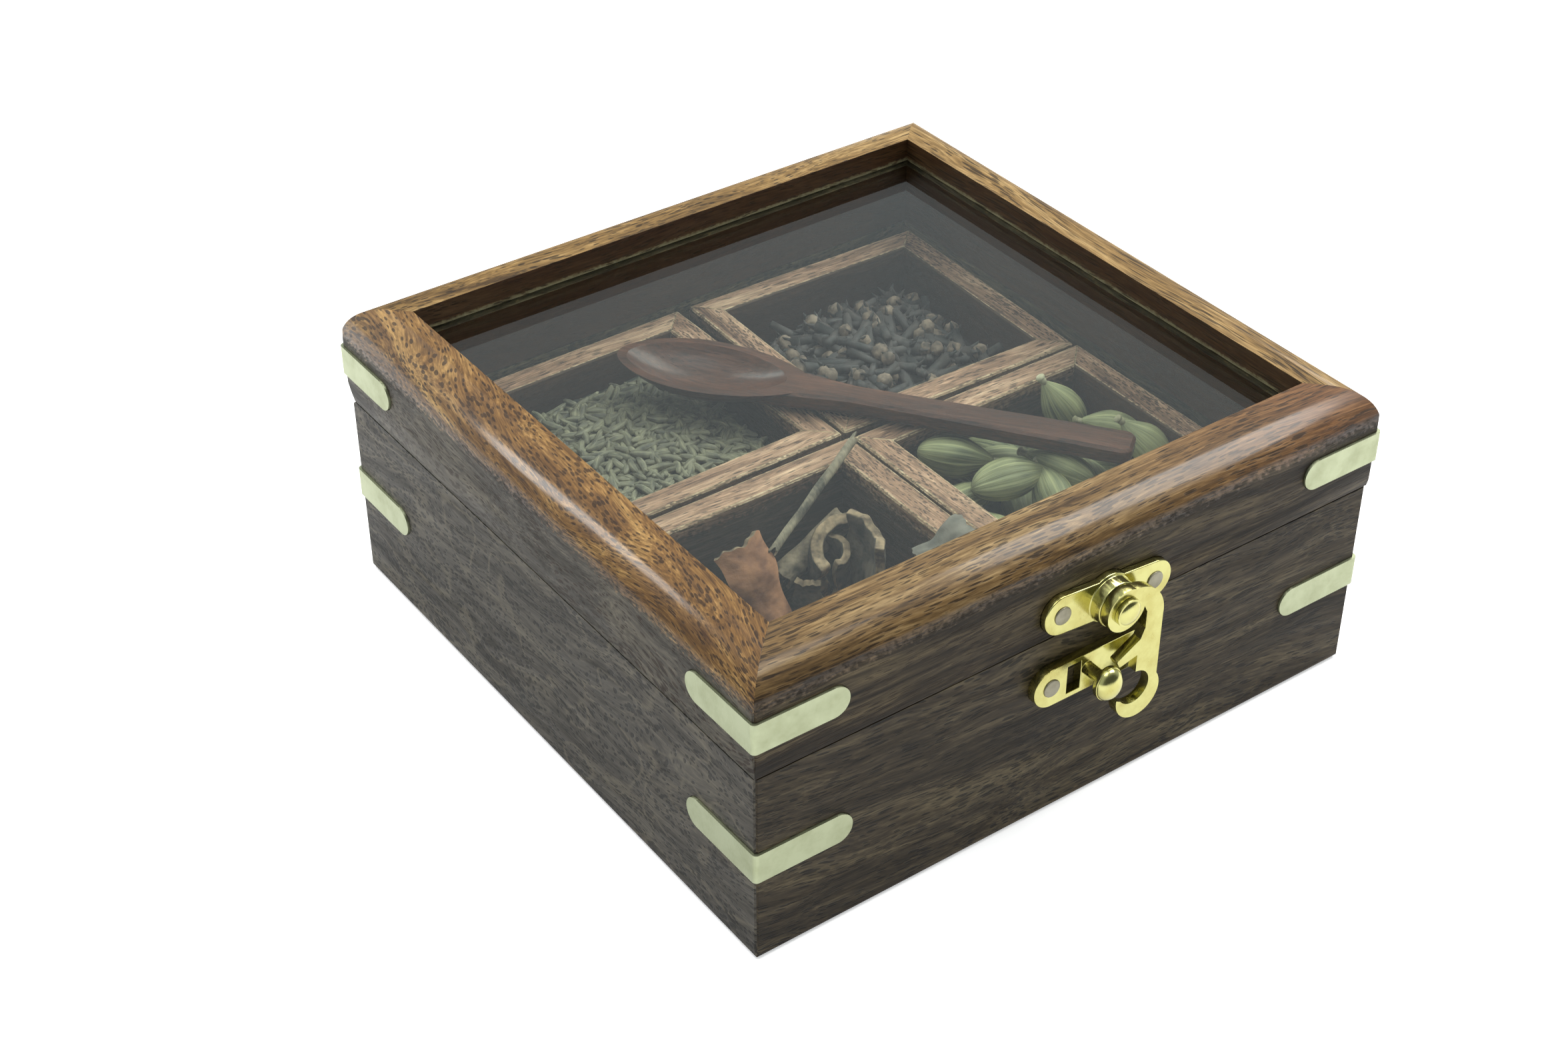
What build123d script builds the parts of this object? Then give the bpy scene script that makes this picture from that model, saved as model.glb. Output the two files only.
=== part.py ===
from build123d import *
import os
from math import cos, radians, sin, tan

# Square hardwood spice box, in millimetres: a mitred base, a glazed lid on two butt hinges, four
# loose trays with a spoon laid across them, and a brass swing-hook latch.
# The origin is the centre of the underside. +X is right, +Y is towards the hinges, +Z is up.

# ---- Case ----
box_width = 152.0  # X, over the base walls
box_depth = 149.0  # Y, over the base walls
base_height = 44.5
lid_height = 23.1
seam_gap = 0.3  # between base and lid, all round
wall = 11.0  # base walls, and lid rails at the seam
lid_overhang = 0.5  # how far the lid stands out past the base
lid_taper = 6.0  # height over which the lid's foot runs back to the base's face
lid_round = 8.0  # round-over of the lid's top outer edge
corner_ease = 0.6  # flat on the vertical corners
foot_round = 1.2  # eased bottom edge of the base
arris_ease = 0.3  # flat on the top edge of the base

# ---- Bottom panel ----
panel_thickness = 5.0
panel_lap = 5.0  # width of the rebate that the panel is glued in
panel_clearance = 0.15

# ---- Lid glass ----
glass_thickness = 3.0
glass_drop = 5.5  # from the lid's top to the glass
glass_lap = 3.2  # how far the glass runs into its groove
groove_depth = 3.5
groove_clearance = 0.1  # above and below the glass

# ---- Hinges ----
hinge_inset = 1.5  # hinge axis, in from the base's back face
base_bevel = 40.0  # stop bevel on the base, degrees below level
lid_bevel = 72.0  # stop bevel on the lid, degrees above level
hinge_from_side = 31.0  # from the base's side to a hinge's centre
hinge_length = 19.0
leaf_width = 8.0
leaf_thickness = 0.9
knuckle_radius = 1.6
knuckle_relief = 0.15  # wood and opposite leaf, cut clear of the knuckles
knuckle_gap = 0.2  # between one knuckle and the next
pin_radius = 0.7
pin_fit = 0.02  # in the base leaf's knuckles
pin_running = 0.05  # in the lid leaf's knuckle
screw_spread = 11.0
screw_inset = 5.0  # from the hinge axis
screw_hole_radius = 0.8

# ---- Brass corner strips ----
strip_height = 6.8
base_strip_leg = 22.0
lid_strip_leg = 21.0
strip_thickness = 1.2
strip_proud = 0.5
strip_bend = 1.0
strip_glue_gap = 0.1
base_strip_drop = 21.1  # strip's middle, below the base's top
lid_strip_rise = 10.15  # strip's middle, above the seam

# ---- Latch plates ----
plate_length = 31.8
plate_height = 8.8
plate_thickness = 2.0
plate_let_in = 0.1  # gap round the hook plate in the lid's face
nail_spread = 23.3
nail_hole_radius = 0.85
pivot_x = 4.2
pivot_rise = 5.2  # hook's pivot above the seam
hook_plate_tilt = -5.0
boss_outline = 5.4  # round swelling in the middle of the plate
boss_radius = 4.9
boss_height = 2.7  # above the plate's face
catch_plate_x = 2.9
catch_plate_drop = 10.5  # below the base's top
catch_window_width = 3.4
catch_window_height = 6.6
knob_x = 0.0
knob_drop = 9.5  # below the base's top
knob_neck_radius = 1.4
knob_window_gap = 0.1
knob_width = 6.4
knob_height = 7.4
knob_thickness = 1.1

# ---- Swing hook and rivet, places from the pivot ----
hook_running = 0.1  # between the boss and the hook
hook_thickness = 2.1
knob_running = 0.3  # between the hook and the knob's head
rivet_radius = 1.9
rivet_fit = 0.02  # in the plate
rivet_running = 0.05  # in the hook's eye and under the rivet's head
rivet_head_radius = 3.0
rivet_head_height = 0.95
eye_radius = 4.7
arm_outer_x = 9.7
arm_width = 5.7
shoulder_start = (2.0, 4.3)
shoulder_top = (7.2, 1.9)
shoulder_drop = 5.0
waist = (5.4, -6.5)  # inner edge between the eye and the spur
waist_top = -2.6
waist_foot = -10.0
curl_centre = (5.1, -22.6)
curl_radius = 5.5
throat_centre = (3.9, -20.5)
throat_radius = 3.8
lip_root = -24.3
lip_tip = (-0.6, -21.9)
mouth_top = -15.0
spur_top = (-1.2, -12.0)
spur_foot = (-0.4, -13.6)
spur_root_top = -8.6
spur_root_foot = -12.3
hook_corner_round = 0.35

# ---- Trays ----
tray_slack_x = 6.4  # room left over beside two trays
tray_slack_y = 5.4
tray_drop = 1.3  # tray tops below the base's top
tray_wall = 6.2
tray_floor = 3.0
tray_edge_ease = 0.4  # flats on the top edges
tray_corner_ease = 0.3  # flats on the vertical corners
# tray: turn in degrees, gap on its right, gap behind it, the tray on its right, the tray behind it
tray_plan = {
    "cloves": (-1.5, 0.1, 0.1, None, None),
    "cumin": (0.6, 0.7, 0.1, "cloves", None),
    "cardamom": (0.0, 1.2, 0.7, None, "cloves"),
    "cinnamon": (0.0, 0.7, 1.15, "cardamom", "cumin"),
}

# ---- Spoon, drawn from the deepest point of its bowl ----
spoon_turn = -52.5
spoon_tilt = 1.3  # handle's end down
bowl_from_crossing = (-14.3, 32.9)  # from the front left corner of the cloves tray
bowl_half_width = 10.4
bowl_depth = 6.4
bowl_front = 19.3  # to the tip
bowl_back = 24.0  # to the root of the handle
hollow_half_width = 8.6
hollow_depth = 5.2
hollow_front = 17.2
hollow_back = 18.5
handle_thickness = 4.2
handle_root = (8.0, 18.0)  # where the handle starts and leaves the bowl
handle_root_half_width = 5.2
neck_at = 33.0
neck_half_width = 3.1
handle_reach = 93.0  # to the handle's end
handle_half_width = 4.1
handle_end_round = 2.2
handle_foot_round = 1.6  # along the handle's underside
handle_top_ease = 0.6
spoon_clearance = 0.15  # above the tray wall that carries the handle

# ---- Levels and frames worked out from the sizes ----
past = 1.0  # how far a cutter runs past the face that it cuts
seam_level = base_height + seam_gap / 2
lid_level = base_height + seam_gap
lid_wall = wall + lid_overhang
half_width = box_width / 2
half_depth = box_depth / 2
lid_half_width = half_width + lid_overhang
lid_half_depth = half_depth + lid_overhang
inner_half_width = half_width - wall
inner_half_depth = half_depth - wall
glass_top = lid_level + lid_height - glass_drop
glass_bottom = glass_top - glass_thickness
hinge_y = half_depth - hinge_inset
hinge_z = seam_level
hinge_centres = {"left": hinge_from_side - half_width, "right": half_width - hinge_from_side}
knuckle_length = (hinge_length - 2 * knuckle_gap) / 3
pivot_z = seam_level + pivot_rise
catch_plate_z = base_height - catch_plate_drop
knob_z = base_height - knob_drop
hook_back = plate_thickness + boss_height + hook_running
hook_front = hook_back + hook_thickness
knob_back = hook_front + knob_running
tray_width = (2 * inner_half_width - tray_slack_x) / 2
tray_depth = (2 * inner_half_depth - tray_slack_y) / 2
tray_height = base_height - panel_thickness - tray_drop

# Each side's inward direction and each corner's outward one, as X and Y.
sides = {"front": (0, 1), "back": (0, -1), "left": (1, 0), "right": (-1, 0)}
corners = {"front_left": (-1, -1), "front_right": (1, -1), "back_left": (-1, 1), "back_right": (1, 1)}
case_frame = Plane.XY
lid_frame = Plane.XY.offset(lid_level)

os.makedirs("parts", exist_ok=True)


def save(name, piece):
    """Label a finished piece and write it out."""
    piece.part.label = name
    export_step(piece.part, f"parts/{name}.step")


# ---- Mitred sides, for the base, the lid and the trays ----
def mitred_side(profile, frame, side, half_x, half_y, ease):
    """Run a profile (x inward, y up) along one side of a rectangle, mitred and eased at both ends."""
    across, back = sides[side]
    inward = frame.x_dir * across + frame.y_dir * back
    outer = frame.origin - frame.x_dir * (across * half_x) - frame.y_dir * (back * half_y)
    section = Plane(origin=outer, x_dir=inward, z_dir=inward.cross(frame.z_dir))
    reach = half_x if across == 0 else half_y
    with BuildPart() as piece:
        with BuildSketch(section):
            add(profile)
        extrude(amount=reach, both=True)
        for end in (-1, 1):
            corner = outer + section.z_dir * (end * reach)
            split(bisect_by=Plane(origin=corner, z_dir=section.z_dir * end + inward), keep=Keep.BOTTOM)
            corner += inward * ease
            split(bisect_by=Plane(origin=corner, z_dir=section.z_dir * end - inward), keep=Keep.BOTTOM)
    return piece.part


def base_wall_profile():
    """Plain wall with a rebate for the bottom panel."""
    with BuildSketch() as profile:
        with BuildLine():
            Polyline(
                (0, 0),
                (wall - panel_lap, 0),
                (wall - panel_lap, panel_thickness),
                (wall, panel_thickness),
                (wall, base_height),
                (0, base_height),
                close=True,
            )
        make_face()
        outer = profile.vertices().group_by(Axis.X)[0].sort_by(Axis.Y)
        fillet(outer[0], foot_round)
        chamfer(outer[-1], arris_ease)
    return profile.sketch


def lid_rail_profile():
    """Bullnosed rail with a foot that runs back to the base's face, grooved for the glass."""
    groove_foot = glass_bottom - groove_clearance - lid_level
    groove_top = glass_top + groove_clearance - lid_level
    with BuildSketch() as profile:
        with BuildLine():
            foot = TangentArc((0, lid_taper), (lid_overhang, 0), tangent=(0, -1))
            Polyline(
                foot @ 1,
                (lid_wall, 0),
                (lid_wall, groove_foot),
                (lid_wall - groove_depth, groove_foot),
                (lid_wall - groove_depth, groove_top),
                (lid_wall, groove_top),
                (lid_wall, lid_height),
                (lid_round, lid_height),
            )
            nose = JernArc((lid_round, lid_height), (-1, 0), lid_round, 90)
            Line(nose @ 1, foot @ 0)
        make_face()
    return profile.sketch


def tray_wall_profile():
    """Plain wall with both top edges eased."""
    with BuildSketch() as profile:
        Rectangle(tray_wall, tray_height, align=(Align.MIN, Align.MIN))
        chamfer(profile.vertices().group_by(Axis.Y)[-1], tray_edge_ease)
    return profile.sketch


# ---- Brass corner strips ----
def strip_legs(corner, level, leg, half_x, half_y, gap=0.0):
    """The two legs of a strip round one corner, or with a gap the pocket that it lies in."""
    across, back = corners[corner]
    outer = (across * (half_x + strip_proud), back * (half_y + strip_proud), level)
    along_x = Vector(-across, 0, 0)
    along_y = Vector(0, -back, 0)
    radius = strip_height / 2
    with BuildPart() as legs:
        for run, inward in ((along_x, along_y), (along_y, along_x)):
            with BuildSketch(Plane(origin=outer, x_dir=run, z_dir=inward)):
                Rectangle(leg - radius, 2 * (radius + gap), align=(Align.MIN, Align.CENTER))
                with Locations((leg - radius, 0)):
                    Circle(radius + gap)
            extrude(amount=strip_thickness)
    return legs.part


def corner_strip(corner, *place):
    """Strip with half-round ends and a bent corner."""
    across, back = corners[corner]
    outward = Axis((0, 0, 0), (across, back, 0))
    with BuildPart() as strip:
        add(strip_legs(corner, *place))
        fillet(strip.edges().filter_by(Axis.Z).sort_by(outward)[-1], strip_bend)
    return strip


base_strip_place = (base_height - base_strip_drop, base_strip_leg, half_width, half_depth)
lid_strip_place = (seam_level + lid_strip_rise, lid_strip_leg, lid_half_width, lid_half_depth)
for corner in corners:
    save(f"base_strip_{corner}", corner_strip(corner, *base_strip_place))
    save(f"lid_strip_{corner}", corner_strip(corner, *lid_strip_place))


# ---- Holes for the screws and nails, which are fitted later ----
def round_holes(planes, radius, thickness):
    """Holes right through a plate, going down from the planes on its face."""
    with BuildPart() as holes:
        for plane in planes:
            with BuildSketch(plane):
                Circle(radius)
            extrude(amount=-thickness)
    return holes.part


# ---- Hinges ----
def on_hinge_axis(start, length, radius):
    """Cylinder on the hinge axis, from start to the right."""
    with BuildPart() as rod:
        with BuildSketch(Plane.YZ.offset(start)):
            with Locations((hinge_y, hinge_z)):
                Circle(radius)
        extrude(amount=length)
    return rod.part


def leaf_blank(centre, length, reach, seat, turn):
    """Flat leaf between the hinge axis and its reach, on one side of the seam."""
    with BuildPart() as blank:
        with BuildSketch(Plane.XY.offset(seat)):
            with Locations((centre, hinge_y)):
                Rectangle(length, reach, align=(Align.CENTER, Align.MAX))
        extrude(amount=turn * leaf_thickness)
    return blank.part


def screw_planes(centre, seat, turn):
    """Planes at a leaf's two screws, facing out of the leaf."""
    places = [(centre + end * screw_spread / 2, hinge_y - screw_inset, seat) for end in (-1, 1)]
    return [Plane(origin=place, z_dir=(0, 0, -turn)) for place in places]


def hinge_leaf(centre, seat, turn, knuckles, bore):
    """One leaf of a butt hinge with its own knuckles, numbered from the left."""
    start = centre - hinge_length / 2
    relief = knuckle_radius + knuckle_relief
    with BuildPart() as leaf:
        add(leaf_blank(centre, hinge_length, leaf_width, seat, turn))
        add(on_hinge_axis(start, hinge_length, relief), mode=Mode.SUBTRACT)
        for number in knuckles:
            left = start + number * (knuckle_length + knuckle_gap)
            add(leaf_blank(left + knuckle_length / 2, knuckle_length, relief + leaf_thickness, seat, turn))
            add(on_hinge_axis(left, knuckle_length, knuckle_radius))
        add(on_hinge_axis(start, hinge_length, bore), mode=Mode.SUBTRACT)
        holes = round_holes(screw_planes(centre, seat, turn), screw_hole_radius, leaf_thickness)
        add(holes, mode=Mode.SUBTRACT)
    return leaf


def hinge_mortises(seat, turn):
    """What both hinges take out of the wood on one side of the seam."""
    with BuildPart() as mortises:
        for centre in hinge_centres.values():
            add(leaf_blank(centre, hinge_length, leaf_width, seat, turn))
            left = centre - hinge_length / 2 - knuckle_gap
            add(on_hinge_axis(left, hinge_length + 2 * knuckle_gap, knuckle_radius + knuckle_relief))
    return mortises.part


# Leaf: its seat, its side of the seam, its knuckles and the knuckles' bore.
leaves = {
    "base": (base_height, -1, (0, 2), pin_radius + pin_fit),
    "lid": (lid_level, 1, (1,), pin_radius + pin_running),
}
for hinge, centre in hinge_centres.items():
    for leaf_name, (seat, turn, knuckles, bore) in leaves.items():
        save(f"hinge_{hinge}_{leaf_name}_leaf", hinge_leaf(centre, seat, turn, knuckles, bore))
    with BuildPart() as pin:
        add(on_hinge_axis(centre - hinge_length / 2, hinge_length, pin_radius))
    save(f"hinge_{hinge}_pin", pin)

# The two stop bevels make one V-groove along the back, with the hinge axis at its apex.
groove_reach = hinge_inset + lid_overhang + past
with BuildPart() as back_groove:
    with BuildSketch(Plane.YZ):
        with BuildLine():
            Polyline(
                (hinge_y, hinge_z),
                (hinge_y + groove_reach, hinge_z - groove_reach * tan(radians(base_bevel))),
                (hinge_y + groove_reach, hinge_z + groove_reach * tan(radians(lid_bevel))),
                close=True,
            )
        make_face()
    extrude(amount=lid_half_width + past, both=True)


# ---- Latch plates ----
def latch_plane(x, z, offset):
    """Plane in front of the base's front face: x right, y up, facing out."""
    return Plane(origin=(x, -half_depth - offset, z), x_dir=(1, 0, 0), z_dir=(0, -1, 0))


def nail_holes(x, z, tilt):
    """A plate's two nail holes, either side of its middle."""
    dx = nail_spread / 2 * cos(radians(tilt))
    dz = nail_spread / 2 * sin(radians(tilt))
    planes = [latch_plane(x + end * dx, z + end * dz, plate_thickness) for end in (-1, 1)]
    return round_holes(planes, nail_hole_radius, plate_thickness)


def hook_plate_outline(gap=0.0):
    """Round-ended plate with a round swelling in its middle, grown by a gap for its seat."""
    with BuildSketch() as outline:
        SlotOverall(plate_length + 2 * gap, plate_height + 2 * gap, rotation=hook_plate_tilt)
        Circle(boss_outline + gap)
    return outline.sketch


with BuildPart() as hook_plate:
    with BuildSketch(latch_plane(pivot_x, pivot_z, 0)):
        add(hook_plate_outline())
    extrude(amount=plate_thickness)
    add(nail_holes(pivot_x, pivot_z, hook_plate_tilt), mode=Mode.SUBTRACT)
    with BuildSketch(latch_plane(pivot_x, pivot_z, plate_thickness)):
        Circle(boss_radius)
    extrude(amount=boss_height)
    with BuildSketch(latch_plane(pivot_x, pivot_z, 0)):
        Circle(rivet_radius + rivet_fit)
    extrude(amount=plate_thickness + boss_height, mode=Mode.SUBTRACT)
save("hook_plate", hook_plate)

with BuildPart() as catch_plate:
    window_x = knob_x - knob_neck_radius - knob_window_gap - catch_window_width / 2
    with BuildSketch(latch_plane(catch_plate_x, catch_plate_z, 0)):
        SlotOverall(plate_length, plate_height)
    extrude(amount=plate_thickness)
    add(nail_holes(catch_plate_x, catch_plate_z, 0), mode=Mode.SUBTRACT)
    with BuildSketch(latch_plane(window_x, catch_plate_z, 0)):
        Rectangle(catch_window_width, catch_window_height)
    extrude(amount=plate_thickness, mode=Mode.SUBTRACT)
    with BuildSketch(latch_plane(knob_x, knob_z, 0)):
        Circle(knob_neck_radius)
    extrude(amount=knob_back)
    with BuildSketch(latch_plane(knob_x, knob_z, knob_back)):
        Ellipse(knob_width / 2, knob_height / 2)
    extrude(amount=knob_thickness)
save("catch_plate", catch_plate)


# ---- Swing hook and its rivet ----
def hook_outline():
    """Eye, shouldered arm, thumb spur, and the curl that goes under the knob."""
    arm_inner_x = arm_outer_x - arm_width
    arm_foot = throat_centre[1]
    with BuildSketch() as outline:
        with BuildLine():
            shoulder = ThreePointArc(shoulder_start, shoulder_top, (arm_outer_x, -shoulder_drop))
            Polyline(
                shoulder @ 1,
                (arm_outer_x, arm_foot),
                (arm_inner_x, arm_foot),
                (arm_inner_x, waist_foot),
                waist,
                (waist[0], waist_top),
                shoulder @ 0,
            )
        make_face()
        with BuildLine():
            Polyline(
                (arm_inner_x + past, spur_root_top),
                spur_top,
                spur_foot,
                (arm_inner_x + past, spur_root_foot),
                close=True,
            )
        make_face()
        fillet(outline.vertices().sort_by(Axis.X)[:2], hook_corner_round)
        Circle(eye_radius)
        with Locations(curl_centre):
            Circle(curl_radius)
        with Locations(throat_centre):
            Circle(throat_radius, mode=Mode.SUBTRACT)
        with BuildLine():
            lip_slope = (lip_tip[1] - lip_root) / (lip_tip[0] - arm_inner_x)
            mouth_x = curl_centre[0] - curl_radius - past
            Polyline(
                (arm_inner_x, mouth_top),
                (arm_inner_x, lip_root),
                (mouth_x, lip_root + lip_slope * (mouth_x - arm_inner_x)),
                (mouth_x, mouth_top),
                close=True,
            )
        make_face(mode=Mode.SUBTRACT)
        Circle(rivet_radius + rivet_running, mode=Mode.SUBTRACT)
    return outline.sketch


with BuildPart() as hook_arm:
    with BuildSketch(latch_plane(pivot_x, pivot_z, hook_back)):
        add(hook_outline())
    extrude(amount=hook_thickness)
save("hook_arm", hook_arm)

with BuildPart() as hook_rivet:
    head_back = hook_front + rivet_running
    head_top = head_back + rivet_head_height
    pivot = latch_plane(pivot_x, pivot_z, 0)
    with BuildSketch(Plane(origin=pivot.origin, x_dir=pivot.x_dir, z_dir=-pivot.y_dir)):
        with BuildLine():
            Polyline(
                (0, 0),
                (rivet_radius, 0),
                (rivet_radius, head_back),
                (rivet_head_radius, head_back),
                (rivet_head_radius, head_top),
                (0, head_top),
                close=True,
            )
        make_face()
    revolve(axis=Axis(pivot.origin, pivot.z_dir))
save("hook_rivet", hook_rivet)

# ---- Case: what the fittings and the groove take out of the wood ----
with BuildPart() as base_cuts:
    add(back_groove.part)
    for corner in corners:
        add(strip_legs(corner, *base_strip_place, gap=strip_glue_gap))
    add(hinge_mortises(base_height, -1))

with BuildPart() as lid_cuts:
    add(back_groove.part)
    for corner in corners:
        add(strip_legs(corner, *lid_strip_place, gap=strip_glue_gap))
    add(hinge_mortises(lid_level, 1))
    with BuildSketch(latch_plane(pivot_x, pivot_z, 0)):
        add(hook_plate_outline(plate_let_in))
    extrude(amount=lid_overhang + past)

for side in sides:
    with BuildPart() as base_wall:
        add(mitred_side(base_wall_profile(), case_frame, side, half_width, half_depth, corner_ease))
        add(base_cuts.part, mode=Mode.SUBTRACT)
    save(f"base_{side}_wall", base_wall)
    with BuildPart() as lid_rail:
        lid_half = (lid_half_width, lid_half_depth)
        add(mitred_side(lid_rail_profile(), lid_frame, side, *lid_half, corner_ease))
        add(lid_cuts.part, mode=Mode.SUBTRACT)
    save(f"lid_{side}_rail", lid_rail)

with BuildPart() as bottom_panel:
    panel_inset = wall - panel_lap + panel_clearance
    with BuildSketch():
        Rectangle(box_width - 2 * panel_inset, box_depth - 2 * panel_inset)
    extrude(amount=panel_thickness)
save("base_bottom_panel", bottom_panel)

with BuildPart() as lid_glass:
    with BuildSketch(Plane.XY.offset(glass_bottom)):
        Rectangle(2 * (inner_half_width + glass_lap), 2 * (inner_half_depth + glass_lap))
    extrude(amount=glass_thickness)
save("lid_glass", lid_glass)

# ---- Trays, placed one against another from the back right ----
tray_left = {None: inner_half_width}
tray_front = {None: inner_half_depth}
for tray, (turn, right_gap, back_gap, right_tray, back_tray) in tray_plan.items():
    tilt = abs(radians(turn))
    half_x = (tray_width * cos(tilt) + tray_depth * sin(tilt)) / 2
    half_y = (tray_depth * cos(tilt) + tray_width * sin(tilt)) / 2
    x = tray_left[right_tray] - right_gap - half_x
    y = tray_front[back_tray] - back_gap - half_y
    tray_left[tray] = x - half_x
    tray_front[tray] = y - half_y
    x_dir = (cos(radians(turn)), sin(radians(turn)), 0)
    frame = Plane(origin=(x, y, panel_thickness), x_dir=x_dir, z_dir=(0, 0, 1))
    for side in sides:
        with BuildPart() as tray_side:
            half = (tray_width / 2, tray_depth / 2)
            add(mitred_side(tray_wall_profile(), frame, side, *half, tray_corner_ease))
        save(f"tray_{tray}_{side}_wall", tray_side)
    with BuildPart() as tray_bottom:
        with BuildSketch(frame):
            Rectangle(tray_width - 2 * tray_wall, tray_depth - 2 * tray_wall)
        extrude(amount=tray_floor)
    save(f"tray_{tray}_floor", tray_bottom)

# ---- Spoon: its handle rests on the back wall of the cardamom tray ----
tray_top = panel_thickness + tray_height
bowl_x = tray_left["cloves"] + bowl_from_crossing[0]
bowl_y = tray_front["cloves"] + bowl_from_crossing[1]
rest_y = tray_front["cloves"] - tray_plan["cardamom"][2] - tray_wall
rest_reach = (bowl_y - rest_y) / -sin(radians(spoon_turn))
rim_level = tray_top + spoon_clearance + handle_thickness + rest_reach * tan(radians(spoon_tilt))
spoon_x_dir = (cos(radians(spoon_turn)), sin(radians(spoon_turn)), 0)
spoon_frame = Plane(origin=(bowl_x, bowl_y, rim_level), x_dir=spoon_x_dir, z_dir=(0, 0, 1))
spoon_frame = spoon_frame.rotated((0, spoon_tilt, 0))
spoon_section = Plane(origin=spoon_frame.origin, x_dir=spoon_frame.x_dir, z_dir=-spoon_frame.y_dir)


def turned_bowl(half_width, depth, front, back):
    """Boat shape turned about an axis above the rim, cut off at the rim."""
    axis_rise = (half_width**2 - depth**2) / (2 * depth)
    with BuildPart() as bowl:
        with BuildSketch(spoon_section):
            with BuildLine():
                toe = TangentArc((0, -depth), (-front, 0), tangent=(-1, 0))
                heel = TangentArc((0, -depth), (back, 0), tangent=(1, 0))
                Polyline(toe @ 1, (-front, axis_rise), (back, axis_rise), heel @ 1)
            make_face()
        revolve(axis=Axis(spoon_section.origin + spoon_frame.z_dir * axis_rise, spoon_frame.x_dir))
        split(bisect_by=spoon_frame, keep=Keep.BOTTOM)
    return bowl.part


with BuildPart() as handle:
    with BuildSketch(spoon_frame) as handle_plan:
        with BuildLine() as flank:
            root = Line((handle_root[0], 0), (handle_root[0], handle_root_half_width))
            straight = Line(root @ 1, (handle_root[1], handle_root_half_width))
            shoulder = Line(straight @ 1, (neck_at, neck_half_width))
            grip = Line(shoulder @ 1, (handle_reach, handle_half_width))
            Line(grip @ 1, (handle_reach, 0))
            mirror(about=Plane.XZ)
        make_face()
        fillet(handle_plan.vertices().group_by(Axis.X)[-1], handle_end_round)
    extrude(amount=-handle_thickness)
    upward = Axis(spoon_frame.origin, spoon_frame.z_dir)
    fillet(handle.faces().sort_by(upward)[0].edges(), handle_foot_round)
    chamfer(handle.faces().sort_by(upward)[-1].edges(), handle_top_ease)

with BuildPart() as spoon:
    add(handle.part)
    add(turned_bowl(bowl_half_width, bowl_depth, bowl_front, bowl_back))
    add(turned_bowl(hollow_half_width, hollow_depth, hollow_front, hollow_back), mode=Mode.SUBTRACT)
save("spoon", spoon)
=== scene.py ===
import random
from math import atan2, cos, pi, radians, sin

import bmesh
import bpy
from mathutils import Matrix, Vector


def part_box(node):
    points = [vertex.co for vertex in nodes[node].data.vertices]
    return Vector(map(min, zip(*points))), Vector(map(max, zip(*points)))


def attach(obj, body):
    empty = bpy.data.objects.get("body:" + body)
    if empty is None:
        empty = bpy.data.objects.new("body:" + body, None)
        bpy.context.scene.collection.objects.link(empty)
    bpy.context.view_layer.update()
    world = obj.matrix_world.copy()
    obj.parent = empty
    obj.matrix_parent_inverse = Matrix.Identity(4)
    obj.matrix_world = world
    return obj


# Looks of a hardwood spice box: glazed lid, brass straps, swing-hook latch, four trays and a spoon.
# Lengths are in metres and mm turns millimetres into them. +X is right, +Y is towards the hinges.

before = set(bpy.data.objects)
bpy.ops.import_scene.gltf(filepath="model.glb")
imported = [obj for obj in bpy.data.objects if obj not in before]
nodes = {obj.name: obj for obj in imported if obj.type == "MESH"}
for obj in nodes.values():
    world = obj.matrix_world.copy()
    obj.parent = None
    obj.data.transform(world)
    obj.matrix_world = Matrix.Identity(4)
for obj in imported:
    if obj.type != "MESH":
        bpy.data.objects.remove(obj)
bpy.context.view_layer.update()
mm = 0.001


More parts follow.
